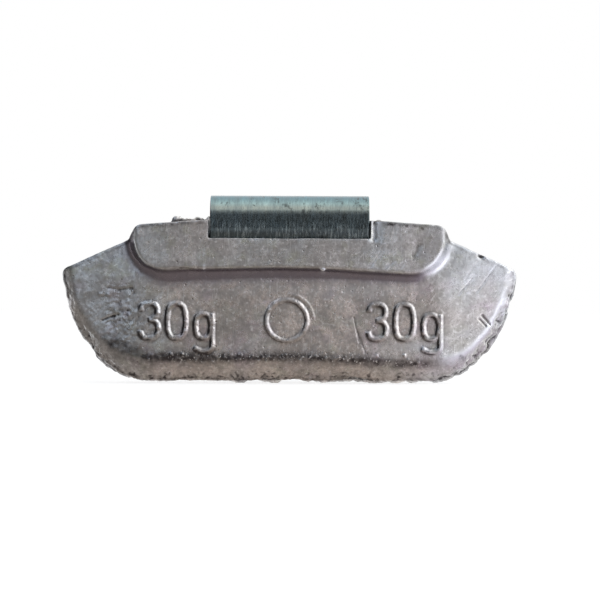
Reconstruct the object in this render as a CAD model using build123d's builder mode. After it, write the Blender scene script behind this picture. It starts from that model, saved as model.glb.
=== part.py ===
from build123d import *
from math import asin, cos, degrees, radians, sin, tan
import os

os.makedirs("parts", exist_ok=True)

# Millimetres, +Z up and outward from the wheel axis, front face towards -Y.
# The origin is the rim seat: on the flat back of the casting, at mid-length, level with the
# centre of the hook's bend.

# Wheel
rim_radius = 205.0
grip_gap = 2.2

# Spring clip: one bent strip
clip_width = 18.0
strip_thickness = 1.0
hook_bend_radius = 3.0
back_leg_length = 6.6
back_leg_lean = 9.0
lip_bend_radius = 2.0
lip_turn = 48.0
lip_length = 1.7
anchor_lean = 14.0
anchor_length = 8.4
anchor_hole_diameter = 2.6
anchor_hole_pitch = 9.0
anchor_hole_height = 3.0
strip_corner_radius = 1.2
strip_edge_radius = 0.12

# Casting outline, heights measured from the origin
body_length = 51.6
bottom_drop = 17.25
bottom_span = 31.0
crest_rise = 1.35
tip_drop = 4.45
tip_lean = 88.0
tip_radius = 1.0
corner_split_angle = 50.0
shoulder_angle = 24.0

# Casting section
face_depth = 3.1
bevel_height = 2.4
bevel_angle = 36.0
crease_radius = 1.6
crease_share = 0.6
end_fold_tuck = 0.84
end_fold_angle = 7.5
end_fold_radius = 14.0
facet_margin = 1.84
facet_angle = 8.0
facet_radius = 12.0
back_flat_drop = 8.6
back_crown_radius = 50.0
back_crown_turn = 25.0

# Pad round the clip
pad_length = 34.8
pad_drop = 4.3
pad_corner_radius = 3.8
pad_wall_angle = 22.0
pad_foot_sink = 2.6
pad_edge_radius = 0.45
pad_foot_radius = 1.0
pad_step_run = 0.8
pad_step_radius = 1.6
clip_cover = 0.75
notch_drop = 0.95
notch_clearance = 0.15

# Values that follow from the sizes above
through = 2 * body_length
match_tolerance = 0.01
half_length = body_length / 2
pad_half = pad_length / 2
back_leg_turn = radians(back_leg_lean)
anchor_turn = radians(anchor_lean)
bevel_turn = radians(bevel_angle)
shoulder_turn = radians(shoulder_angle)
hook_centre = grip_gap - hook_bend_radius * cos(back_leg_turn) + back_leg_length * sin(back_leg_turn)
strip_front = hook_bend_radius + strip_thickness - hook_centre
notch_back = strip_thickness / 2 - strip_front
pad_depth = strip_front + clip_cover
pad_wall_slope = tan(radians(pad_wall_angle))
wall_depth = pad_depth - face_depth + pad_foot_sink
wall_run = wall_depth * pad_wall_slope
open_top = 2 * crest_rise

# Folds of the face: the ends fold back just inside the foot of the pad, and the shoulder facets
# start just below its lower corners
pad_foot_run = (pad_depth - face_depth) * pad_wall_slope
pad_foot_half = pad_half + pad_foot_run
end_fold_line = pad_foot_half - end_fold_tuck
end_fold_turn = radians(end_fold_angle)
end_fold_half = end_fold_line - end_fold_radius * tan(end_fold_turn / 2)
shoulder_line = (half_length - pad_foot_half) * tan(shoulder_turn) - tip_drop
facet_width = (shoulder_line + pad_drop + pad_foot_run) * cos(shoulder_turn) + facet_margin

# The crease is no rounder than the bevel that is left at the tips can carry
tip_bevel_depth = bevel_height * tan(bevel_turn) - (half_length - end_fold_line) * tan(end_fold_turn)
tip_bevel_width = tip_bevel_depth / sin(bevel_turn)
crease_limit = crease_share * tip_bevel_width / tan(bevel_turn / 2)
rolled_radius = min(crease_radius, crease_limit)

# Spring clip: the strip's inner line runs from the lip of the hook, up the back leg, over the
# bend and down the leg that is cast into the lead
back_top = (hook_centre + hook_bend_radius * cos(back_leg_turn), -hook_bend_radius * sin(back_leg_turn))
back_foot = (grip_gap, back_top[1] - back_leg_length * cos(back_leg_turn))
with BuildPart() as spring_clip:
    with BuildSketch(Plane.YZ):
        with BuildLine():
            back_leg = Line(back_foot, back_top)
            hook_turn = 180 + back_leg_lean + anchor_lean
            hook_bend = JernArc(back_leg @ 1, back_leg % 1, hook_bend_radius, hook_turn)
            anchor_leg = PolarLine(hook_bend @ 1, anchor_length, direction=hook_bend % 1)
            lip_bend = JernArc(back_leg @ 0, back_leg % 0 * -1, lip_bend_radius, lip_turn)
            PolarLine(lip_bend @ 1, lip_length, direction=lip_bend % 1)
            offset(amount=strip_thickness, side=Side.LEFT)
        make_face()
    extrude(amount=clip_width / 2, both=True)
    # Blanked corners at both ends of the strip
    side_edges = spring_clip.edges().group_by(Axis.X)[0] + spring_clip.edges().group_by(Axis.X)[-1]
    corner_edges = side_edges.filter_by(GeomType.LINE).filter_by(
        lambda edge: abs(edge.length - strip_thickness) < match_tolerance
    )
    fillet(corner_edges, strip_corner_radius)
    # Tumbled edges: from each straight edge of the back leg the rounding runs on round the strip
    leg_edges = spring_clip.edges().filter_by(GeomType.LINE).filter_by(
        lambda edge: abs(edge.length - back_leg_length) < match_tolerance
    )
    fillet(leg_edges, strip_edge_radius)
    # Holes near the end of the cast-in leg, filled by the lead
    hole_row = anchor_leg @ 1 - (anchor_leg % 1) * anchor_hole_height
    hole_plane = Plane(
        origin=(0, hole_row.X, hole_row.Y),
        x_dir=(1, 0, 0),
        z_dir=(0, cos(anchor_turn), sin(anchor_turn)),
    )
    with BuildSketch(hole_plane):
        with GridLocations(anchor_hole_pitch, 0, 2, 1):
            Circle(anchor_hole_diameter / 2)
    extrude(amount=2 * strip_thickness, both=True, mode=Mode.SUBTRACT)

# Casting outline: straight bottom, each lower corner two arcs that meet tangentially, shoulders
# that slope from the pad to the tips, and a crest that follows the rim
crest_radius = rim_radius + crest_rise
crest_turn = degrees(asin(pad_half / crest_radius))
split_turn = radians(corner_split_angle)
tip_turn = radians(tip_lean)
corner_run = half_length - bottom_span / 2
corner_rise = bottom_drop - tip_drop
lower_run = sin(split_turn)
lower_rise = 1 - cos(split_turn)
upper_run = sin(tip_turn) - lower_run
upper_rise = cos(split_turn) - cos(tip_turn)
corner_share = lower_run * upper_rise - upper_run * lower_rise
lower_corner_radius = (corner_run * upper_rise - upper_run * corner_rise) / corner_share
upper_corner_radius = (lower_run * corner_rise - corner_run * lower_rise) / corner_share
step_foot = pad_half + pad_step_run
step_foot_z = (half_length - step_foot) * tan(shoulder_turn) - tip_drop
with BuildLine() as lower_line:
    bottom_edge = Line((0, -bottom_drop), (bottom_span / 2, -bottom_drop))
    lower_corner = JernArc(bottom_edge @ 1, bottom_edge % 1, lower_corner_radius, corner_split_angle)
    corner_turn = tip_lean - corner_split_angle
    upper_corner = JernArc(lower_corner @ 1, lower_corner % 1, upper_corner_radius, corner_turn)
with BuildSketch(Plane.XZ) as outline:
    with BuildLine():
        add(lower_line.line)
        crest = CenterArc((0, -rim_radius), crest_radius, 90, -crest_turn)
        Polyline(upper_corner @ 1, (step_foot, step_foot_z), crest @ 1)
        Line(crest @ 0, bottom_edge @ 0)
    make_face()
    mirror(about=Plane.YZ)
    fillet(outline.vertices().filter_by(lambda point: abs(point.X) > half_length - tip_radius), tip_radius)
    fillet(outline.vertices().group_by(Axis.Y)[-1], pad_step_radius)

# Pad: a block behind its sloped wall, standing higher than the outline
with BuildPart() as pad:
    with BuildSketch(Plane.XZ) as pad_foot:
        with Locations((0, -rim_radius)):
            Circle(rim_radius + through)
            Circle(rim_radius - pad_drop - wall_run, mode=Mode.SUBTRACT)
        with Locations((0, open_top)):
            Rectangle(
                pad_length + 2 * wall_run, through, align=(Align.CENTER, Align.MAX), mode=Mode.INTERSECT
            )
        fillet(pad_foot.vertices().group_by(Axis.Y)[0], pad_corner_radius + wall_run)
    extrude(amount=pad_depth)
    block_face = pad.faces().sort_by(Axis.Y)[0]
    chamfer(block_face.edges().sort_by(Axis.Z)[:-1], wall_run, wall_depth, reference=block_face)
    pad_face = pad.faces().sort_by(Axis.Y)[0]
    fillet(pad_face.edges().sort_by(Axis.Z)[:-1], pad_edge_radius)

with BuildPart() as weight_casting:
    # Slab that stands higher than the outline, bevelled along the bottom and round both lower corners
    with BuildSketch(Plane.XZ):
        with BuildLine():
            add(lower_line.line)
            open_run = (tip_drop + open_top) / sin(tip_turn)
            open_end = PolarLine(upper_corner @ 1, open_run, direction=upper_corner % 1)
            Polyline(open_end @ 1, (0, open_top), bottom_edge @ 0)
        make_face()
        mirror(about=Plane.YZ)
    extrude(amount=face_depth)
    slab_face = weight_casting.faces().sort_by(Axis.Y)[0]
    lower_edges = slab_face.edges().sort_by(Axis.Z)[:-1]
    chamfer(lower_edges, bevel_height, bevel_height * tan(bevel_turn), reference=slab_face)
    # Ends folded back from the middle of the face
    with BuildSketch(Plane.XY):
        with BuildLine():
            end_fold_start = (end_fold_half, -face_depth)
            end_fold = JernArc(end_fold_start, (1, 0), end_fold_radius, end_fold_angle)
            end_flat = PolarLine(end_fold @ 1, through, direction=end_fold % 1)
            Polyline(end_flat @ 1, (through, -through), (end_fold_half, -through), end_fold @ 0)
        make_face()
        mirror(about=Plane.YZ)
    extrude(amount=through, both=True, mode=Mode.SUBTRACT)
    # Rolled crease between the face and the bevel, from end to end across the folds
    front_faces = weight_casting.faces().filter_by(lambda face: face.normal_at().Y < -cos(bevel_turn / 2))
    bevel_faces = weight_casting.faces().filter_by(
        lambda face: abs(face.normal_at().Y + cos(bevel_turn)) < match_tolerance
    )
    fillet(front_faces.edges() & bevel_faces.edges(), rolled_radius)
    # Shoulder facets, falling back towards the sloped upper edges
    facet_planes = [
        Plane(
            origin=(side * half_length, 0, -tip_drop),
            x_dir=(side * sin(shoulder_turn), 0, cos(shoulder_turn)),
            z_dir=(cos(shoulder_turn), 0, -side * sin(shoulder_turn)),
        )
        for side in (1, -1)
    ]
    with BuildSketch(*facet_planes):
        with BuildLine():
            facet_fold = JernArc((-facet_width, face_depth), (1, 0), facet_radius, -facet_angle)
            facet_flat = PolarLine(facet_fold @ 1, through, direction=facet_fold % 1)
            Polyline(facet_flat @ 1, (through, through), (-facet_width, through), facet_fold @ 0)
        make_face()
    extrude(amount=through, both=True, mode=Mode.SUBTRACT)
    # Pad, with a swept foot, then slab and pad cut to the outline
    add(pad.part)
    fillet(weight_casting.edges(Select.NEW), pad_foot_radius)
    extrude(outline.sketch, amount=through, mode=Mode.INTERSECT)
    # Back: flat against the rim flange, then crowned away from it down to the bottom edge
    with BuildSketch(Plane.YZ):
        with BuildLine():
            back_crown = JernArc((0, -back_flat_drop), (0, -1), back_crown_radius, -back_crown_turn)
            Polyline(back_crown @ 1, (through, -through), (through, -back_flat_drop), back_crown @ 0)
        make_face()
    extrude(amount=through, both=True, mode=Mode.SUBTRACT)
    # Notch in front of the clip, then the room that the cast-in strip takes up
    with BuildSketch(Plane.XY.offset(-notch_drop)):
        with Locations((0, notch_back)):
            Rectangle(clip_width + 2 * notch_clearance, through, align=(Align.CENTER, Align.MAX))
    extrude(amount=through, mode=Mode.SUBTRACT)
    add(spring_clip.part, mode=Mode.SUBTRACT)

spring_clip.part.label = "spring_clip"
export_step(spring_clip.part, "parts/spring_clip.step")
weight_casting.part.label = "weight_casting"
export_step(weight_casting.part, "parts/weight_casting.step")
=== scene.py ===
import random
from math import radians

import bmesh
import bpy
import numpy as np
from mathutils import Matrix, Vector, bvhtree, kdtree, noise


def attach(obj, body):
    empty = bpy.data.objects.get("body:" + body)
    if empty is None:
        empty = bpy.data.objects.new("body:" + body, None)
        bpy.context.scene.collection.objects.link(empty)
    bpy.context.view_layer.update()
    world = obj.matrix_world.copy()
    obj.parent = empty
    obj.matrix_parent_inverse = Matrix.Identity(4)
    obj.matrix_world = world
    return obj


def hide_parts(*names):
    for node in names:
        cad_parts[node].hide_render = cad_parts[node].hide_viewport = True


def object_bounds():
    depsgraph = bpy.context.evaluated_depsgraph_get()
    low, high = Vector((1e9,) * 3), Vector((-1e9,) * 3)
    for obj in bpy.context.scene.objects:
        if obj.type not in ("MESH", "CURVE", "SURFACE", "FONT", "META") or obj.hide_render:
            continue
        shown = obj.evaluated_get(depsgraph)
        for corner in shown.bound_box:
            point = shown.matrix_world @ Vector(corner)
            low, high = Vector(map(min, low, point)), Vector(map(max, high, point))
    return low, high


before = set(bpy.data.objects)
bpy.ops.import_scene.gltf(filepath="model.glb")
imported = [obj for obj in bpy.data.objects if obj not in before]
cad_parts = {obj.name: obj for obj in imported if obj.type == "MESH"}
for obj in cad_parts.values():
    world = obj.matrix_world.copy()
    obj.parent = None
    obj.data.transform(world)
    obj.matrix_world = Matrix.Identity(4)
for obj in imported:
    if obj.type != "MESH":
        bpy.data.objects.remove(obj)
cad_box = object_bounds()
scene = bpy.context.scene
scene.view_settings.view_transform = "Standard"


# Spring clip: one strip of spring steel, bent over to a hook and cast into the lead by its front
# leg. Zinc plated and passivated blue, with fine rolling lines along the strip and a few places
# where the plating has dulled.
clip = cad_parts["spring_clip"]
crown_blue = (0.13, 0.28, 0.338, 1)
highlight_teal = (0.435, 0.605, 0.595, 1)
straw = (0.434, 0.484, 0.436, 1)
dark_reflection_slate = (0.09, 0.103, 0.1, 1)
leg_grey = (0.13, 0.155, 0.16, 1)
dull_streak = (0.16, 0.21, 0.23, 1)
dark_scuff = (0.1, 0.13, 0.14, 1)
bare_steel = (0.62, 0.7, 0.7, 1)
stain_black = (0.06, 0.07, 0.07, 1)
line_depth = 0.00003

# Painted light down from the crown of the bend: the height where a colour starts, where it is full, the
# colour
# a painted highlight in pale teal below the crown, then painted dark reflection down the leg
painted_light_bands = (
    (0.00374, 0.00305, highlight_teal),
    (0.00305, 0.0026, straw),
    (0.0024, 0.0018, dark_reflection_slate),
    (0.0012, 0.0004, leg_grey),
)


def shader_node(tree, kind, settings=None, **inputs):
    # An input goes by its name, with _ for a space, or by its number, as in _0
    made = tree.nodes.new("ShaderNode" + kind)
    for name, value in (settings or {}).items():
        setattr(made, name, value)
    for name, value in inputs.items():
        key = int(name[1:]) if name[0] == "_" else name.replace("_", " ")
        if isinstance(value, bpy.types.NodeSocket):
            tree.links.new(value, made.inputs[key])
        else:
            made.inputs[key].default_value = value
    return made


def grain(tree, place, size, detail=3.0, roughness=0.55, distortion=0.0):
    made = shader_node(
        tree,
        "TexNoise",
        Vector=place,
        Scale=1.0 / size,
        Detail=detail,
        Roughness=roughness,
        Distortion=distortion,
    )
    return made.outputs["Fac"]


def stretched(tree, place, scale, turn=0.0):
    made = shader_node(tree, "Mapping", Vector=place, Rotation=(0, radians(turn), 0), Scale=scale)
    return made.outputs["Vector"]


def spread(tree, value, low, high, to_low, to_high):
    made = shader_node(tree, "MapRange", _0=value, _1=low, _2=high, _3=to_low, _4=to_high)
    return made.outputs["Result"]


def tint(tree, share, first, second, mode="MIX"):
    made = shader_node(tree, "MixRGB", {"blend_type": mode}, Fac=share, Color1=first, Color2=second)
    return made.outputs["Color"]


def combine(tree, operation, first, second):
    return shader_node(tree, "Math", {"operation": operation}, _0=first, _1=second).outputs["Value"]


def new_finish(name, metallic):
    material = bpy.data.materials.new(name)
    material.use_nodes = True
    tree = material.node_tree
    surface = tree.nodes["Principled BSDF"]
    surface.inputs["Metallic"].default_value = metallic
    place = shader_node(tree, "TexCoord").outputs["Object"]
    axes = shader_node(tree, "SeparateXYZ", Vector=place).outputs
    return material, tree, surface, place, axes


zinc, tree, surface, place, axes = new_finish("blue_zinc", 1.0)
height = axes["Z"]
along_strip = stretched(tree, place, (1.0, 0.04, 0.04))
short_lines = stretched(tree, place, (1.0, 0.14, 0.14))
over_bend = stretched(tree, place, (1.0, 0.4, 0.6))
rolling_lines = grain(tree, along_strip, size=0.00012, detail=3.0, roughness=0.7)
scuffs = grain(tree, short_lines, size=0.00016, detail=3.0, roughness=0.65)
broad_lines = grain(tree, along_strip, size=0.0011, detail=2.0)
stains = grain(tree, over_bend, size=0.0009, detail=5.0, roughness=0.75, distortion=0.2)
stained = combine(tree, "ADD", stains, spread(tree, axes["X"], -0.004, 0.001, 0.0, 0.05))
front_leg = spread(tree, axes["Y"], 0.0005, 0.0025, 1.0, 0.2)
low_on_leg = spread(tree, height, 0.0012, 0.0002, 0.0, 0.36)
worn_lines = combine(tree, "MULTIPLY", spread(tree, scuffs, 0.52, 0.6, 0.0, 1.0), low_on_leg)
colour = crown_blue
# painted highlight and dark reflection by height, then streaks, scuffs, worn lines and stains
for start, full, band_colour in painted_light_bands:
    colour = tint(tree, spread(tree, height, start, full, 0.0, 1.0), colour, band_colour)
for share, layer in (
    (spread(tree, broad_lines, 0.35, 0.65, 0.45, 0.0), dull_streak),
    (spread(tree, scuffs, 0.35, 0.65, 0.4, 0.0), dark_scuff),
    (combine(tree, "MULTIPLY", worn_lines, front_leg), bare_steel),
    (spread(tree, stained, 0.58, 0.66, 0.0, 0.75), stain_black),
):
    colour = tint(tree, share, colour, layer)
tree.links.new(colour, surface.inputs["Base Color"])
tree.links.new(spread(tree, scuffs, 0.3, 0.7, 0.12, 0.26), surface.inputs["Roughness"])
lines = combine(tree, "ADD", rolling_lines, scuffs)
line_strength = combine(tree, "MULTIPLY", front_leg, 0.5)
relief = shader_node(tree, "Bump", Strength=line_strength, Distance=line_depth, Height=lines)
tree.links.new(relief.outputs["Normal"], surface.inputs["Normal"])
clip.data.materials.clear()
clip.data.materials.append(zinc)


# Weight casting: soft lead, cast in a die round the leg of the clip. The die leaves a dull skin,
# the mass in raised figures, a raised ring, a thin ragged flash along the back edge, and crumbs
# of lead along the crease. Millimetres until it is finished.
mm = 1000
face_y = -3.1
shell = bmesh.new()
shell.from_mesh(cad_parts["weight_casting"].data)
bmesh.ops.remove_doubles(shell, verts=shell.verts, dist=1e-7)
bmesh.ops.scale(shell, vec=(mm, mm, mm), verts=shell.verts)
plain_shell = bvhtree.BVHTree.FromBMesh(shell)

# Points along the outer edge of the back, each with its way out of the casting
face_middle = Vector((0, 0, -7))
rim_step = 0.1
rim_front_y = -0.9
back_rim = []
for edge in shell.edges:
    sides = sorted(edge.link_faces, key=lambda face: face.normal.y)
    if len(sides) == 2 and abs(sides[0].normal.y) < 0.5 < sides[1].normal.y:
        outward = Vector((sides[0].normal.x, 0, sides[0].normal.z)).normalized()
        first, second = (vert.co for vert in edge.verts)
        steps = max(1, round(edge.calc_length() / rim_step))
        if first.y > rim_front_y and outward.dot(first - face_middle) > 0:
            back_rim += [(first.lerp(second, step / steps), outward) for step in range(steps)]
rim_tree = kdtree.KDTree(len(back_rim))
for index, (point, outward) in enumerate(back_rim):
    rim_tree.insert(Vector((point.x, 0, point.z)), index)
rim_tree.balance()

# Raised figures, each stroke drawn round the middle of its nought
figure_middles = ((-12.72, -10.25), (12.98, -10.28))
figure_width = 0.97
figure_height = 0.95
rib_radius = 0.34
rib_height = 0.18
three_top = [(-4.1, 1.25), (-4.05, 2.05), (-2.25, 2.1), (-2.15, 0.35), (-3.2, 0.12)]
three_bottom = [(-3.2, 0.12), (-2.1, 0.1), (-2.15, -2.0), (-4.1, -2.1), (-4.2, -1.25)]
nought = [
    (-1.07, -1.1),
    (-1.07, 1.1),
    (-0.6, 2.05),
    (0.6, 2.05),
    (1.07, 1.1),
    (1.07, -1.1),
    (0.6, -2.05),
    (-0.6, -2.05),
]
bowl = [
    (2.21, -1.35),
    (2.21, 0.15),
    (2.65, 0.83),
    (3.6, 0.83),
    (4.02, 0.15),
    (4.02, -1.35),
    (3.6, -2.04),
    (2.65, -2.04),
]
stem = [(4.16, 0.85), (4.16, -2.0), (4.2, -3.45), (2.9, -3.7), (2.1, -3.2)]


def raise_rib(middle, stroke, radius, height, closed=False):
    curve = bpy.data.curves.new("rib", "CURVE")
    curve.dimensions = "3D"
    curve.bevel_depth = radius
    curve.bevel_resolution = 3
    curve.use_fill_caps = True
    spline = curve.splines.new("NURBS")
    spline.points.add(len(stroke) - 1)
    rib_y = face_y + radius - height
    for point, (across, up) in zip(spline.points, stroke):
        point.co = (middle[0] + figure_width * across, rib_y, middle[1] + figure_height * up, 1)
    spline.use_cyclic_u = closed
    spline.use_endpoint_u = not closed
    spline.order_u = 3
    spline.resolution_u = 8
    drawn = bpy.data.objects.new("rib", curve)
    mesh = bpy.data.meshes.new_from_object(drawn)
    shell.from_mesh(mesh)
    bpy.data.objects.remove(drawn)
    bpy.data.curves.remove(curve)
    bpy.data.meshes.remove(mesh)


for middle in figure_middles:
    for stroke in (three_top, three_bottom, stem):
        raise_rib(middle, stroke, rib_radius, rib_height)
    for stroke in (nought, bowl):
        raise_rib(middle, stroke, rib_radius, rib_height, closed=True)

# Raised ring, with a fainter arc beside it where the die struck twice
ring_x = -0.3
ring_z = -10.15
ring_sunk = 0.17
ring_radius = 2.3
ring_rib = 0.31
strike_radius = 3.2
strike_rib = 0.2
strike_height = 0.07
ring_centre = Vector((ring_x, face_y + ring_sunk, ring_z))
ring_start = Matrix.Translation(ring_centre + Vector((ring_radius, 0, 0)))
profile = bmesh.ops.create_circle(shell, segments=16, radius=ring_rib, matrix=ring_start)["verts"]
profile_edges = {edge for vert in profile for edge in vert.link_edges}
bmesh.ops.spin(
    shell,
    geom=[*profile, *profile_edges],
    cent=ring_centre,
    axis=(0, 1, 0),
    angle=radians(360),
    steps=72,
    use_merge=True,
)
strike_start = Vector((strike_radius, 0))
strike = [Matrix.Rotation(radians(turn), 2) @ strike_start for turn in (5, 25, 45, 65, 85)]
raise_rib((ring_x, ring_z), strike, strike_rib, strike_height)


def add_lump(centre, half_sizes, lean=0.0, rounds=3):
    turned = Matrix.Rotation(radians(lean), 4, "Y")
    placed = Matrix.Translation(centre) @ turned @ Matrix.Diagonal((*half_sizes, 1))
    bmesh.ops.create_icosphere(shell, subdivisions=rounds, radius=1.0, matrix=placed)


# Lumps beside the clip, a torn row to the left of it, and lumps on the lower edge of the pad
torn_x = -12.9
torn_y = -3.5
torn_z = 1.1
torn_pitch = 0.42
torn_taper = 0.02
add_lump((9.9, -3.2, 0.3), (0.7, 1.0, 1.0), 15)
add_lump((-9.25, -3.35, 0.1), (0.4, 1.0, 1.5), 6)
torn = random.Random(5)
for step in range(9):
    spot = (torn_x + torn_pitch * step, torn_y + torn.uniform(-0.15, 0.15), torn_z)
    wide = torn.uniform(0.25, 0.45)
    thick = torn.uniform(0.1, 0.25)
    tall = torn.uniform(0.25, 0.55) - torn_taper * step
    add_lump(spot, (wide, thick, tall), torn.uniform(-40, 40))
add_lump((3.75, -4.1, -4.45), (0.36, 0.36, 0.34))
add_lump((-9.6, -4.1, -4.4), (0.19, 0.36, 0.4), 8)

# Crumbs in the crease and along the bottom: the band's heights and largest crumb, and then each
# heap's middle, reach and number
crumb_bands = (((-15.2, -14.0), 0.15), ((-16.9, -16.1), 0.2))
crumb_heaps = ((-13, 2.0, 10), (-3, 3.5, 38), (6, 3.0, 12), (12.5, 1.0, 4))
before_face_y = -10
inward = Vector((0, 1, 0))
crumbs = random.Random(11)
for (low_z, high_z), largest in crumb_bands:
    for heap_x, reach, number in crumb_heaps:
        for _ in range(number):
            crumb_x = crumbs.gauss(heap_x, reach)
            crumb_z = crumbs.uniform(low_z, high_z)
            wide = largest * crumbs.uniform(0.4, 1.0)
            tall = wide * crumbs.uniform(0.8, 1.8)
            found = plain_shell.ray_cast(Vector((crumb_x, before_face_y, crumb_z)), inward)[0]
            if found:
                add_lump(found, (wide, wide, tall), crumbs.uniform(-50, 50), 1)

# One skin over all of it. x, y and z are views of its points, so a change to them moves it.
voxel = 0.12
mesh = bpy.data.meshes.new("casting_shell")
shell.to_mesh(mesh)
shell.free()
casting = bpy.data.objects.new("lead_casting", mesh)
scene.collection.objects.link(casting)
union = casting.modifiers.new("one_skin", "REMESH")
union.mode = "VOXEL"
union.voxel_size = voxel
cast = bpy.data.meshes.new_from_object(casting.evaluated_get(bpy.context.evaluated_depsgraph_get()))
casting.modifiers.remove(union)
at = np.empty(len(cast.vertices) * 3)
cast.vertices.foreach_get("co", at)
at = at.reshape(-1, 3)
x, y, z = at.T
facing = np.empty(at.size)
cast.vertex_normals.foreach_get("vector", facing)
facing = facing.reshape(-1, 3)
facing_x, facing_y, facing_z = facing.T
as_cast = [Vector(point) for point in at]

strip = bmesh.new()
strip.from_mesh(clip.data)
bmesh.ops.scale(strip, vec=(mm, mm, mm), verts=strip.verts)
strip_tree = bvhtree.BVHTree.FromBMesh(strip)
strip.free()


def ease(value, low, high):
    share = np.clip((value - low) / (high - low), 0, 1)
    return share * share * (3 - 2 * share)


def hill(value, centre, width):
    return np.exp(-(((value - centre) / width) ** 2))


def ripple(size, octaves, shift):
    offset = Vector((shift, shift * 0.7, -shift))
    return np.array([noise.fractal(point / size + offset, 1.0, 2.0, octaves) for point in as_cast])


# Where it touches the clip it stays as cast, and elsewhere the rim is ragged, most of all low down
crown_start_z = -8.6
crown_spread = 100
strip_distance = np.array([strip_tree.find_nearest(point)[3] for point in as_cast])
clear = ease(strip_distance, 0.2, 0.55)
clear = np.maximum(clear, ease(-z, 2.0, 2.6) * ease(-y, 2.0, 2.4))
nearest = [rim_tree.find(Vector((point.x, 0, point.z))) for point in as_cast]
rim_distance = np.array([found[2] for found in nearest])
outward = np.array([back_rim[found[1]][1] for found in nearest])
front = ease(-facing_y, 0.2, 0.6) * clear
low_edge = ease(-z, 4.0, 9.0)
rightward = ease(x, -18, 20)
right_end = ease(x, 14, 19)
fine_ripple = ripple(0.45, 3, 9.1)
back_y = -np.clip(crown_start_z - z, 0, None) ** 2 / crown_spread
body = ease(back_y - y, 0.3, 0.5)
body_inset = 0.04 + 0.18 * low_edge + 0.25 * low_edge * rightward
body_inset = np.clip(body_inset * (1 + 1.1 * ripple(2.2, 4, 5.5)), 0.02, 0.7)
ragged = 0.14 + 0.14 * rightward - 0.26 * right_end + 0.5 * ripple(2.4, 3, 3.1) + 0.08 * fine_ripple
ragged += 0.1 * ease(x, -6, -3) * (1 - ease(x, 11, 14))
ragged *= 0.25 + 0.85 * low_edge
inset = body_inset * body + np.clip(ragged, 0.0, 0.45) * (1 - body)
inset *= 1 - ease(rim_distance, 0.0, 2.0)
inset *= clear
at -= outward * inset[:, None]

# The skin is uneven, and rougher on the flash, on the figures and in a worn place on the left
worn_x = -18.4
worn_z = -10.2
worn_spread = 7.0
flash = (1 - ease(rim_distance, 0.5, 1.0)) * low_edge
worn = np.exp(-((x - worn_x) ** 2 + (z - worn_z) ** 2) / worn_spread)
skin = 0.03 * ripple(3.4, 2, 7.7) + (0.02 + 0.01 * ease(-x, 16, 19)) * ripple(1.3, 3, 1.3)
skin += (0.008 + 0.05 * flash * (1 - 0.5 * rightward) + 0.06 * worn) * fine_ripple
figures = ease(face_y - y, 0.02, 0.1) * ease(-z, 6.5, 7) * (1 - ease(-z, 14, 14.5))
skin += 0.04 * figures * fine_ripple
at += facing * (skin * clear)[:, None]

# Marks along lines on the front: from, to, width, and how deep, dark or bright
carved = (
    ((21.8, -9.5), (22.65, -10.5), 0.14, 0.2),
    ((21.45, -9.9), (22.2, -10.65), 0.12, 0.16),
    ((-21.12, -10.21), (-19.75, -9.7), 0.12, 0.2),
    ((-20.7, -10.5), (-20.2, -10.25), 0.1, 0.08),
    ((-20.45, -6.55), (-19.2, -6.8), 0.16, 0.04),
    ((-19.2, -6.8), (-17.8, -6.6), 0.16, 0.05),
    ((-17.8, -6.6), (-17.5, -7.15), 0.16, 0.05),
    ((-21.5, -7.25), (-21.1, -7.25), 0.14, -0.07),
    ((-20.6, -7.3), (-20.3, -7.3), 0.14, -0.07),
    ((19.0, -7.25), (20.7, -5.3), 0.09, 0.03),
    ((21.1, -6.9), (23.5, -3.7), 0.09, 0.035),
    ((19.8, -5.5), (20.9, -3.9), 0.09, 0.02),
    ((7.3, -9.75), (7.95, -12.75), 0.1, 0.06),
    ((7.7, -11.3), (8.6, -13.7), 0.1, 0.06),
    ((9.0, -4.3), (9.7, -3.2), 0.1, 0.03),
    ((10.7, -4.2), (11.9, -3.4), 0.1, 0.025),
    ((-12.3, -4.72), (-10.8, -4.8), 0.14, 0.16),
    ((14.0, -2.6), (14.4, -1.7), 0.55, 0.1),
    ((9.55, 1.4), (9.45, -0.9), 0.28, 0.18),
    ((10.0, 1.4), (9.7, -0.8), 0.75, 0.12),
    ((21.5, -2.75), (21.7, -2.85), 0.25, 0.3),
)
# Lines painted darker: painted shade on the lead left of the clip, and dark marks along the pad top
darkened_lines = (
    ((11.4, 0.85), (12.9, 0.65), 0.16, 0.9),
    ((13.2, 0.55), (15.0, 0.2), 0.14, 0.8),
    ((10.85, 0.75), (11.4, 0.55), 0.25, 0.9),
    ((9.95, 1.5), (10.2, 1.4), 0.25, 0.9),
    ((-12.8, 1.15), (-11.7, 1.2), 0.3, 0.9),
    ((-11.7, 1.1), (-9.8, 1.1), 0.12, 0.8),
    ((19.5, -14.2), (19.7, -14.25), 0.35, 0.7),
)
# Lines painted as highlights: along scratches on the right end and the pad, and on two lumps
highlight_lines = (
    ((3.7, -4.4), (3.8, -4.5), 0.3, 1.0),
    ((-9.6, -4.1), (-9.55, -4.7), 0.16, 1.0),
    ((19.1, -7.3), (20.8, -5.35), 0.09, 0.8),
    ((21.2, -6.95), (23.6, -3.75), 0.09, 0.8),
    ((9.1, -4.35), (9.8, -3.25), 0.09, 0.8),
    ((10.8, -4.25), (12.0, -3.45), 0.09, 0.8),
    ((12.6, -4.3), (12.9, -3.9), 0.09, 0.8),
)


def along_line(start, end, width):
    start, end = np.array(start), np.array(end)
    run = end - start
    flat = at[:, [0, 2]]
    share = np.clip((flat - start) @ run / (run @ run), 0, 1)
    away = np.linalg.norm(flat - start - share[:, None] * run, axis=1)
    return hill(away, 0, width) * front


for start, end, width, deep in carved:
    y += deep * along_line(start, end, width)
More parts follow.
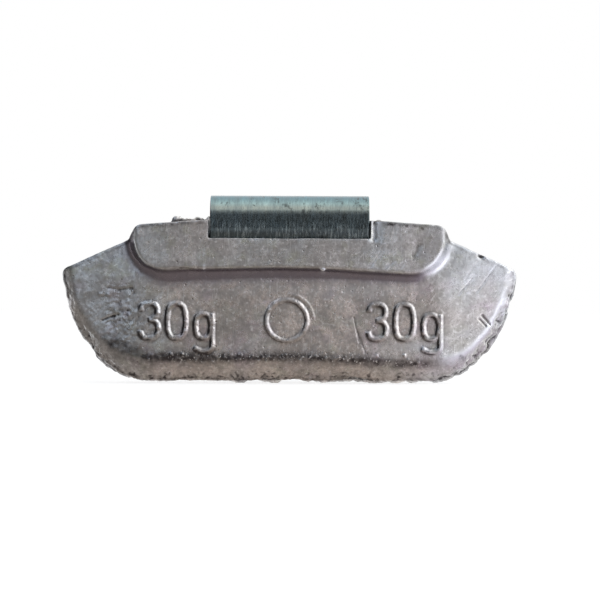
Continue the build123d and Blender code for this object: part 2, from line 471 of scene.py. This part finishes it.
# darker along the listed lines, partly painted shade
line_darkening = np.zeros(len(at))
for start, end, width, dark in darkened_lines:
    line_darkening += dark * along_line(start, end, width)
# The dent beside the clip faces the light: a painted highlight
dent = along_line((10.0, 1.2), (9.6, -0.7), 0.35)
shine = 0.7 * dent
for start, end, width, light in highlight_lines:
    shine += light * along_line(start, end, width)

# The lower edge of the pad lies a little higher on its left half. Nothing leaves the CAD box.
pad_foot_z = -4.7
pad_foot = hill(z, pad_foot_z, 0.7) * ease(-y, 2.9, 3.4)
pad_foot *= 1 - ease(np.abs(x), 15.5, 17)
foot_lift = 0.2 - 0.2 * ease(x, 0, 10) + 0.2 * hill(x, -12.5, 2.5)
z += foot_lift * pad_foot * clear
at = np.clip(at, np.array(cad_box[0]) * mm, np.array(cad_box[1]) * mm)
x, y, z = at.T
cast.vertices.foreach_set("co", at.ravel())

ends = np.empty(len(cast.edges) * 2, dtype=int)
cast.edges.foreach_get("vertices", ends)
ends = ends.reshape(-1, 2)
neighbours = np.bincount(ends.ravel(), minlength=len(at))


def relax(values, rounds):
    shared = neighbours if values.ndim == 1 else neighbours[:, None]
    for _ in range(rounds):
        total = np.zeros_like(values)
        np.add.at(total, ends[:, 0], values[ends[:, 1]])
        np.add.at(total, ends[:, 1], values[ends[:, 0]])
        values = total / shared
    return values


# The walls of the pad: in shade below and at the left end, lit at the right end
hollow = np.einsum("ij,ij->i", relax(at, 10) - at, facing)
raised = ease(-hollow, 0.012, 0.05)
on_back = ease(facing_y, 0.4, 0.8)
on_wall = ease(-y, 2.2, 2.8) * ease(z, -6.6, -6.0) * clear
wall_top = ease(z, -3.8, -1.2)
lower_wall = ease(-facing_z, 0.08, 0.35) * on_wall * (1 - ease(facing_x, 0.15, 0.4))
left_wall = ease(-facing_x, 0.2, 0.6) * on_wall * ease(-x, 15.5, 16)
right_wall = ease(facing_x, 0.15, 0.4) * on_wall * ease(x, 13.5, 14.5)
in_shade = np.maximum(lower_wall, left_wall)
shade = relax(in_shade, 6)
foot_shade = np.clip(1.9 * relax(in_shade, 80), 0, 1) ** (1.1 + 0.6 * rightward)
foot_shade *= 1 - ease(-y, 3.8, 4.2)
lit = relax(right_wall * (1 - wall_top), 3)
# The side of the step beside the clip, painted dark as shade
clip_step = ease(facing_x, 0.1, 0.4) * ease(x, -10.4, -10) * (1 - ease(x, -9, -8.6))
clip_step *= ease(z, -1.4, -1)

# The crease follows the rim, and comes nearer to it towards the tips
crease_inset = 2.4
tip_start = 17.1
tip_taper = 0.18
left_end = ease(-x, 15, 19)
from_crease = rim_distance - crease_inset + tip_taper * np.clip(np.abs(x) - tip_start, 0, None)
# the lit ridge at the lower right, later painted as a highlight
ridge = hill(from_crease, 0, 0.35) * ease(x, 16, 19) * ease(-z, 6, 8)
above_crease = from_crease - 0.4 + 0.5 * ease(x, 2, 13) - 0.1 * left_end
above_crease -= 0.15 * hill(x, 0, 6)
crease_width = np.where(above_crease > 0, 0.85 - 0.3 * rightward + 0.5 * left_end, 0.58)
crease = hill(above_crease, 0, crease_width) * ease(-z, 11, 13)
crease *= ease(x, -23.5, -20) * (1 - 0.36 * left_end) * (1 - ease(x, 14, 19))


def keep_mask(name, values):
    mask = cast.attributes.new(name, "FLOAT", "POINT")
    mask.data.foreach_set("value", np.clip(values, 0, 1))


# Painted shade in the crease and hollows, beside the clip, on the left flanks of the figures
# and low on the left end; darker along the rim; dirt in a worn place on the left
patchy = 0.7 + 0.8 * ripple(0.55, 3, 2.2)
low_rim_dark = (1 - ease(rim_distance, 0.15, 0.75 - 0.4 * rightward - 0.3 * left_end)) * low_edge
low_rim_dark *= 1 - 0.3 * rightward
high_rim_dark = hill(rim_distance, 0.22, 0.2) * (1 - low_edge) * (1 - 0.4 * rightward)
rim_dark = 0.9 * (low_rim_dark + high_rim_dark) * patchy
notch = (1 - clear) * ease(z, -2.2, -1.4) * (0.85 - 0.6 * ease(x, 8.5, 9.2))
by_figures = ease(relax(figures, 5), 0.02, 0.2)
turned_left = -0.85 * facing_x - 0.5 * facing_z
shaded_flank = ease(turned_left, 0.06, 0.35) * by_figures + 0.4 * ease(turned_left, -0.35, 0.0) * figures
left_low = ease(-x, 14, 17) * ease(-z, 9, 12) * (1 - ease(from_crease, -0.3, 0.3))
hollow_shade = (0.75 - 0.45 * by_figures) * ease(hollow, 0.008, 0.04) * (1 - 0.9 * foot_shade)
dirt_and_shade = crease * (0.6 + 0.6 * patchy - 0.2 * rightward) + rim_dark + 0.4 * worn * patchy
dirt_and_shade += hollow_shade + 0.8 * shaded_flank + 0.3 * left_low * patchy
dirt_and_shade += notch + line_darkening * np.clip(0.45 + 2 * fine_ripple, 0, 1.3) + 0.16 * shade + 0.4 * right_wall * wall_top
dirt_and_shade *= (1 - (0.65 - 0.4 * crease) * raised) * (1 - lit) * (1 - 0.9 * dent) * (1 - on_back)
dirt_and_shade = np.maximum(dirt_and_shade + 0.8 * rim_dark * on_back, 0.85 * clip_step)
gritty = (crease + 0.6 * low_rim_dark) * ease(x, -15.5, -12)
keep_mask("dirt_and_shade", dirt_and_shade)
keep_mask("grit", gritty * (1 - on_back))
keep_mask("foot_shade", 0.9 * foot_shade)

# Painted highlights on the lit right wall and shoulder, the ridge, a glint, the figures' right flanks
# and some marks, and painted light under the pad; handling has polished what stands out
shoulder = ease(x, 16.5, 19) * ease(z, -7.5, -5.5) * front
under_pad = hill(z, -6.8, 0.8) * (1 - ease(x, 12, 16)) * front
glint = hill(x, 14.6, 2.2) * hill(z, -13.1, 0.8) * front
bright = 0.12 * raised + lit + 0.8 * ridge + 0.3 * shoulder + shine
bright += (0.08 * ease(x, -10, -6) + 0.12 * ease(x, 1, 5)) * under_pad
bright += 0.45 * glint
bright += 0.25 * ease(-turned_left, 0.1, 0.4) * by_figures
bright *= 1 - on_back
keep_mask("polish_and_highlight", bright)

# Back to metres, with fewer triangles on the back and in the seat of the clip
hidden_ratio = 0.42
cast.transform(Matrix.Scale(1 / mm, 4))
for polygon in cast.polygons:
    polygon.use_smooth = True
casting.data = cast
hidden = casting.vertex_groups.new(name="hidden")
for index in np.nonzero((front < 0.05) & (rim_distance > 0.6))[0]:
    hidden.add([int(index)], 1.0, "REPLACE")
thin = casting.modifiers.new("thin_back", "DECIMATE")
thin.ratio = hidden_ratio
thin.vertex_group = "hidden"
thin.vertex_group_factor = 5.0
thinned = bpy.data.meshes.new_from_object(casting.evaluated_get(bpy.context.evaluated_depsgraph_get()))
casting.modifiers.remove(thin)
casting.vertex_groups.clear()
casting.data = cast = thinned

# Cast lead: a warm and cool grey skin, mottled, pitted, scratched and with painted glints, under painted
# shade, dirt, painted highlights and polish
warm_grey = (0.82, 0.735, 0.685, 1)
cool_grey = (0.735, 0.77, 0.8, 1)
purple_grey = (0.67, 0.58, 0.65, 1)
olive_grey = (0.62, 0.64, 0.54, 1)
cloud_brown = (0.42, 0.385, 0.36, 1)
blotch_brown = (0.4, 0.385, 0.36, 1)
mottle_brown = (0.33, 0.305, 0.29, 1)
speckle_brown = (0.33, 0.31, 0.295, 1)
glint_white = (0.97, 0.95, 0.94, 1)
pore_black = (0.14, 0.12, 0.11, 1)
scratch_white = (0.92, 0.91, 0.9, 1)
shade_purple = (0.29, 0.255, 0.295, 1)
highlight_white = (0.88, 0.9, 0.95, 1)
dirt_and_shade_black = (0.04, 0.034, 0.036, 1)
sparkle_white = (0.9, 0.88, 0.87, 1)
pore_size = 0.0009
skin_depth = 0.00008


def kept_mask(tree, name):
    return shader_node(tree, "Attribute", {"attribute_name": name}).outputs["Fac"]


lead, tree, surface, place, axes = new_finish("cast_lead", 0.95)
sideways = axes["X"]
towards_ends = spread(tree, combine(tree, "MULTIPLY", sideways, sideways), 0.013**2, 0.02**2, 0.0, 0.3)
warm_cool = combine(tree, "ADD", grain(tree, place, size=0.008, detail=2.0), towards_ends)
warm_cool = combine(tree, "ADD", warm_cool, spread(tree, axes["Z"], -0.0062, -0.0045, -0.08, 0.15))
clouds = grain(tree, place, size=0.0048, detail=2.0)
purple_patches = grain(tree, place, size=0.0035, detail=3.0)
olive_patches = grain(tree, place, size=0.0019, detail=3.0, roughness=0.6)
blotches = grain(tree, place, size=0.0026, detail=4.0, roughness=0.6, distortion=0.4)
mottle = grain(tree, place, size=0.0011, detail=4.0, roughness=0.55)
speckle = grain(tree, place, size=0.00032, detail=3.0, roughness=0.6)
glint_flecks = grain(tree, place, size=0.0004, detail=2.0, roughness=0.5)
grit = grain(tree, place, size=0.00024, detail=2.0, roughness=0.6)
pores = shader_node(tree, "TexVoronoi", Vector=place, Scale=1 / pore_size).outputs
pore_choice = shader_node(tree, "SeparateColor", Color=pores["Color"]).outputs["Red"]
pore = combine(tree, "MULTIPLY", spread(tree, pores["Distance"], 0.07, 0.15, 1.0, 0.0), pore_choice)
in_crease = kept_mask(tree, "grit")
# White specks in the crease: painted sparkle
grit_sparkle = combine(tree, "MULTIPLY", spread(tree, grit, 0.61, 0.67, 0.0, 1.0), in_crease)
calm_right = spread(tree, sideways, 0.011, 0.019, 1.0, 0.5)
calm_left = spread(tree, sideways, -0.014, -0.019, 1.0, 0.55)
calm = combine(tree, "MULTIPLY", calm_right, calm_left)
on_pad = spread(tree, axes["Z"], -0.006, -0.0045, 0.0, 1.0)
purple_share = spread(tree, on_pad, 0, 1, 0.75, 0.1)
olive_share = spread(tree, on_pad, 0, 1, 0.5, 0.9)
purple = combine(tree, "MULTIPLY", spread(tree, purple_patches, 0.52, 0.66, 0.0, 1.0), purple_share)
olive = combine(tree, "MULTIPLY", spread(tree, olive_patches, 0.52, 0.68, 0.0, 1.0), olive_share)
blotched = combine(tree, "MULTIPLY", spread(tree, blotches, 0.36, 0.54, 0.45, 0.0), calm)
mottled = combine(tree, "MULTIPLY", spread(tree, mottle, 0.34, 0.56, 0.7, 0.0), calm)
layers = [
    (purple, purple_grey),
    (olive, olive_grey),
    (spread(tree, clouds, 0.4, 0.58, 0.5, 0.0), cloud_brown),
    (blotched, blotch_brown),
    (mottled, mottle_brown),
    (spread(tree, speckle, 0.36, 0.52, 0.45, 0.0), speckle_brown),
    # painted glints: small white flecks
    (spread(tree, glint_flecks, 0.56, 0.72, 0.0, 0.55), glint_white),
    (spread(tree, pore, 0.5, 0.8, 0.0, 0.8), pore_black),
]
for turn, size in ((28, 0.00013), (-52, 0.00011), (75, 0.00012)):
    scratches = grain(tree, stretched(tree, place, (1, 1, 0.05), turn), size, detail=2.0, roughness=0.5)
    layers.append((spread(tree, scratches, 0.66, 0.76, 0.0, 0.7), scratch_white))
layers += [
    (kept_mask(tree, "foot_shade"), shade_purple),
    (kept_mask(tree, "polish_and_highlight"), highlight_white),
    # painted shade and dirt
    (combine(tree, "MULTIPLY", kept_mask(tree, "dirt_and_shade"), 0.93), dirt_and_shade_black),
    (grit_sparkle, sparkle_white),
]
colour = tint(tree, spread(tree, warm_cool, 0.4, 0.7, 0.0, 1.0), warm_grey, cool_grey)
for share, layer in layers:
    colour = tint(tree, share, colour, layer)
tree.links.new(colour, surface.inputs["Base Color"])
tree.links.new(spread(tree, mottle, 0.3, 0.7, 0.4, 0.2), surface.inputs["Roughness"])
grained = combine(tree, "ADD", combine(tree, "MULTIPLY", speckle, 0.45), mottle)
grit_relief = combine(tree, "MULTIPLY", grit, combine(tree, "MULTIPLY", in_crease, 1.8))
grained = combine(tree, "ADD", grained, grit_relief)
pitted = combine(tree, "SUBTRACT", grained, pore)
skin_strength = combine(tree, "MULTIPLY", calm, 0.6)
relief = shader_node(tree, "Bump", Strength=skin_strength, Distance=skin_depth, Height=pitted)
tree.links.new(relief.outputs["Normal"], surface.inputs["Normal"])
cast.materials.clear()
cast.materials.append(lead)
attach(casting, "root")
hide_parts("weight_casting")


# Set: a pale floor that the weight stands on, white all round it, one large soft lamp on the
# right, and cards that only the metal mirrors. The camera looks straight at the face.
floor_z = cad_box[0].z
floor_half = 2.0


def stage_piece(name, shape, material):
    mesh = bpy.data.meshes.new(name)
    shape.to_mesh(mesh)
    shape.free()
    piece = bpy.data.objects.new(name, mesh)
    scene.collection.objects.link(piece)
    mesh.materials.append(material)
    return piece


def flat_sheet(half, centre):
    shape = bmesh.new()
    placed = Matrix.Translation(centre)
    bmesh.ops.create_grid(shape, x_segments=1, y_segments=1, size=half, matrix=placed)
    return shape


def seen_directly(tree):
    path = shader_node(tree, "LightPath").outputs
    either = combine(tree, "MAXIMUM", path["Is Camera Ray"], path["Is Glossy Ray"])
    return combine(tree, "MAXIMUM", either, path["Is Transmission Ray"])


world = bpy.data.worlds.new("studio")
scene.world = world
world.use_nodes = True
tree = world.node_tree
tree.nodes.clear()
room = shader_node(tree, "Background", Color=(0.97, 0.98, 1.0, 1), Strength=0.6)
white = shader_node(tree, "Background", Color=(1, 1, 1, 1), Strength=1.0)
mixed = shader_node(tree, "MixShader", _0=seen_directly(tree), _1=room.outputs[0], _2=white.outputs[0])
shader_node(tree, "OutputWorld", Surface=mixed.outputs[0])

paper = bpy.data.materials.new("white_paper")
paper.use_nodes = True
tree = paper.node_tree
tree.nodes.clear()
matt = shader_node(tree, "BsdfDiffuse", Color=(0.75, 0.75, 0.75, 1))
paper_glow = combine(tree, "MULTIPLY", seen_directly(tree), 0.57)
glow = shader_node(tree, "Emission", Color=(1, 1, 1, 1), Strength=paper_glow)
both = shader_node(tree, "AddShader", _0=matt.outputs[0], _1=glow.outputs[0])
shader_node(tree, "OutputMaterial", Surface=both.outputs[0])
stage_piece("floor", flat_sheet(floor_half, (0, 0, floor_z)), paper)


def domed_strip(radius, low, rise, rows, start, sweep, columns):
    shape = bmesh.new()
    centre = (0, 0, 0)
    corner = shape.verts.new((0, -radius, 0))
    lowest = Matrix.Rotation(radians(low), 3, "X")
    leftmost = Matrix.Rotation(radians(start), 3, "Z")
    bmesh.ops.rotate(shape, verts=[corner], cent=centre, matrix=lowest)
    bmesh.ops.spin(shape, geom=[corner], cent=centre, axis=(-1, 0, 0), angle=radians(rise), steps=rows)
    bmesh.ops.rotate(shape, verts=shape.verts, cent=centre, matrix=leftmost)
    arc = [*shape.verts, *shape.edges]
    bmesh.ops.spin(shape, geom=arc, cent=centre, axis=(0, 0, 1), angle=radians(sweep), steps=columns)
    return shape


def mirror_card(name, shape, ramps, shade=(1, 1, 1, 1)):
    material = bpy.data.materials.new(name)
    material.use_nodes = True
    tree = material.node_tree
    tree.nodes.clear()
    place = shader_node(tree, "TexCoord").outputs["Object"]
    axes = shader_node(tree, "SeparateXYZ", Vector=place).outputs
    for axis, stops in ramps.items():
        colour = (*stops[0][1], 1)
        for (start, _), (end, next_colour) in zip(stops, stops[1:]):
            colour = tint(tree, spread(tree, axes[axis], start, end, 0.0, 1.0), colour, (*next_colour, 1))
        shade = tint(tree, 1.0, shade, colour, "MULTIPLY")
    glow = shader_node(tree, "Emission", Color=shade, Strength=1.0)
    shader_node(tree, "OutputMaterial", Surface=glow.outputs[0])
    card = stage_piece(name, shape, material)
    card.visible_camera = False
    card.visible_diffuse = False
    card.visible_shadow = False
    card.visible_transmission = False


across = [
    (-0.5, (0.07, 0.072, 0.08)),
    (-0.2, (0.68, 0.74, 0.82)),
    (0.0, (0.355, 0.32, 0.295)),
    (0.12, (0.48, 0.46, 0.445)),
    (0.3, (0.78, 0.8, 0.83)),
    (0.5, (0.95, 0.96, 0.97)),
]
upward = [(0.05, (1.0, 1.0, 1.0)), (0.22, (1.35, 1.38, 1.42))]
shape = domed_strip(radius=0.8, low=4, rise=74, rows=16, start=-150, sweep=180, columns=36)
mirror_card("front_card", shape, {"X": across, "Z": upward})
card_grey = (0.085, 0.088, 0.095, 1)
shape = domed_strip(radius=0.75, low=-8, rise=61, rows=12, start=-13, sweep=19, columns=6)
mirror_card("clip_card", shape, {}, card_grey)
below = [
    (-0.035, (0.19, 0.18, 0.17)),
    (-0.012, (0.27, 0.25, 0.235)),
    (0.011, (0.28, 0.26, 0.245)),
    (0.024, (0.52, 0.5, 0.57)),
]
forward = [(-0.03, (1.0, 1.0, 1.0)), (-0.008, (1.5, 1.46, 1.44))]
shape = flat_sheet(0.5, (0, -0.5012, floor_z + 0.0003))
mirror_card("low_card", shape, {"X": below, "Y": forward})
beside = [(0.02, (0.8, 0.8, 0.85)), (0.03, (1.3, 1.3, 1.38))]
shape = flat_sheet(0.05, (0.07, -0.059, floor_z + 0.0006))
mirror_card("side_card", shape, {"X": beside})

lamp = bpy.data.lights.new("key", "AREA")
lamp.shape = "SQUARE"
lamp.size = 1.3
lamp.energy = 5.0
lamp.color = (0.95, 0.97, 1.0)
key = bpy.data.objects.new("key", lamp)
key.location = (0.95, -0.2, 0.32)
lit_point = Vector((0, 0, -0.008))
key.rotation_euler = (lit_point - key.location).to_track_quat("-Z", "Y").to_euler()
scene.collection.objects.link(key)

lens = bpy.data.cameras.new("camera")
lens.lens = 200.0
lens.sensor_width = 36.0
camera = bpy.data.objects.new("camera", lens)
camera.location = (0.0012, -0.379, -0.00784)
camera.rotation_euler = (radians(90), radians(-0.25), 0)
scene.collection.objects.link(camera)
scene.camera = camera
